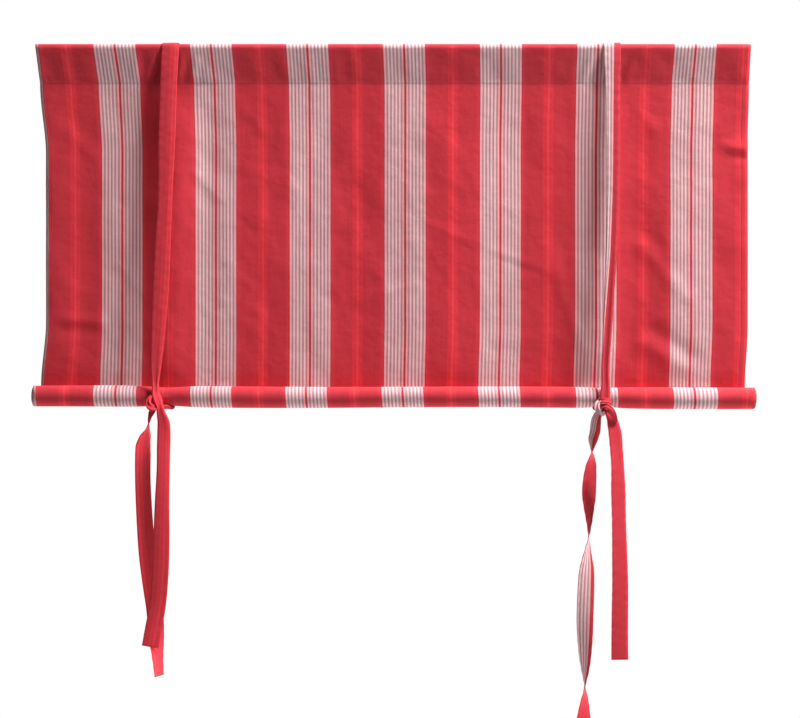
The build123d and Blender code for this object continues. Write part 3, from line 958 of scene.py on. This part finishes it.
tool = stitch_tool()
proud = cloth_thickness / 2 + thread_radius / 3
past_flap = seam_depth / 2
seam_row = next(row for row in fine_rows if row[0][0][2] <= seam_z + 0.0001 and row[1] > past_flap)
seam_front = [(x, y - proud, z) for x, y, z in seam_row[0][1:-1]]
seam_behind = [(x, y + proud + hem_set, z) for x, y, z in seam_row[0][1:-1]]
stitch_line("seam_stitches", [seam_front, seam_behind], tool)
for side, column in (("left", hem_columns), ("right", -hem_columns - 1)):
    inward = hem_stitch_inset if side == "right" else -hem_stitch_inset
    run = [row[0][column] for row in drop_rows[1:]]
    front = [(x + inward, y - proud, z) for x, y, z in run]
    behind = [(x + inward, y + proud + hem_set, z) for x, y, z in run]
    stitch_line(f"{side}_hem_stitches", [front, behind], tool)


# The rods. A plain drawn steel tube lies in the pocket, and a pine dowel in the core of the roll.
# Both are seen only at their ends, so they keep the solids' shape.

steel_dark = (176, 177, 180)
steel_light = (206, 207, 209)
pine_dark = (196, 150, 98)
pine_light = (226, 188, 136)
pine_ring = (178, 126, 76)

steel, tree, surface = new_material("drawn_steel")
place = node(tree, "ShaderNodeTexCoord").outputs["Object"]
drawn_lines = grain(tree, place, (6, 1800, 1800), 3.0)
tree.links.new(blended(tree, drawn_lines, steel_dark, steel_light), surface.inputs["Base Color"])
tree.links.new(maths(tree, "MULTIPLY_ADD", drawn_lines, 0.16, 0.28), surface.inputs["Roughness"])
surface.inputs["Metallic"].default_value = 1.0

pine, tree, surface = new_material("pine")
place = node(tree, "ShaderNodeTexCoord").outputs["Object"]
fibres = grain(tree, place, (14, 700, 700), 4.0)
rings = grain(tree, place, (3, 160, 160), 1.0)
fibre_tone = blended(tree, fibres, pine_dark, pine_light)
ringed = blended(tree, between(tree, rings, 0.52, 0.66), fibre_tone, pine_ring)
tree.links.new(ringed, surface.inputs["Base Color"])
surface.inputs["Roughness"].default_value = 0.62
for name, finish in (("top_rod", steel), ("bottom_rod", pine)):
    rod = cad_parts[name]
    rod.data.materials.clear()
    rod.data.materials.append(finish)


# The studio. A pale floor under white surroundings, a soft lamp above the blind on its right, a
# weaker one behind it, and a camera straight in front of it, a little above the roll's level.

view_centre = Vector((0.0098, 0.0, -0.4341))
view_width = 1.12
view_distance = 2.5
sensor_width = 36.0
floor_half_width = 1.6
floor_half_depth = 1.4
floor_z = -1.25
floor_grey = (224, 224, 223)
ambient_light = 0.09

camera_data = bpy.data.cameras.new("camera")
camera_data.sensor_fit = "HORIZONTAL"
camera_data.sensor_width = sensor_width
camera_data.lens = sensor_width * view_distance / view_width
camera = bpy.data.objects.new("camera", camera_data)
camera.location = view_centre + Vector((0, -view_distance, 0))
camera.rotation_euler = (pi / 2, 0, 0)
bpy.context.scene.collection.objects.link(camera)
bpy.context.scene.camera = camera


def soft_light(name, place, aim, size, power):
    lamp = bpy.data.lights.new(name, "AREA")
    lamp.shape = "RECTANGLE"
    lamp.size, lamp.size_y = size
    lamp.energy = power
    holder = bpy.data.objects.new(name, lamp)
    holder.location = place
    holder.rotation_euler = (Vector(aim) - Vector(place)).to_track_quat("-Z", "Y").to_euler()
    bpy.context.scene.collection.objects.link(holder)


soft_light("key", place=(1.75, -0.62, 2.2), aim=(0.05, 0, -0.25), size=(1.1, 0.7), power=250)
soft_light("back light", place=(1.4, 1.3, 0.9), aim=(0, 0, -0.3), size=(1.8, 1.0), power=58)

floor_mesh = bpy.data.meshes.new("floor")
floor_corners = [(across * floor_half_width, deep * floor_half_depth, floor_z)
                 for across, deep in ((-1, -1), (1, -1), (1, 1), (-1, 1))]
floor_mesh.from_pydata(floor_corners, [], [(0, 1, 2, 3)])
floor = bpy.data.objects.new("floor", floor_mesh)
bpy.context.scene.collection.objects.link(floor)
pale_floor, tree, surface = new_material("pale_floor")
surface.inputs["Base Color"].default_value = tone(floor_grey)
surface.inputs["Roughness"].default_value = 0.9
floor_mesh.materials.append(pale_floor)

world = bpy.data.worlds.new("studio")
bpy.context.scene.world = world
world.use_nodes = True
tree = world.node_tree
tree.nodes.clear()
rays = node(tree, "ShaderNodeLightPath")
seen = maths(tree, "MAXIMUM", rays.outputs["Is Camera Ray"],
             maths(tree, "MAXIMUM", rays.outputs["Is Glossy Ray"], rays.outputs["Is Transmission Ray"]))
ambient = node(tree, "ShaderNodeBackground", {"Color": (1, 1, 1, 1), "Strength": ambient_light})
shown = node(tree, "ShaderNodeBackground", {"Color": (1, 1, 1, 1), "Strength": 1.0})
mixed = node(tree, "ShaderNodeMixShader", {0: seen, 1: ambient.outputs[0], 2: shown.outputs[0]})
node(tree, "ShaderNodeOutputWorld", {"Surface": mixed.outputs[0]})
bpy.context.scene.view_settings.view_transform = "Standard"
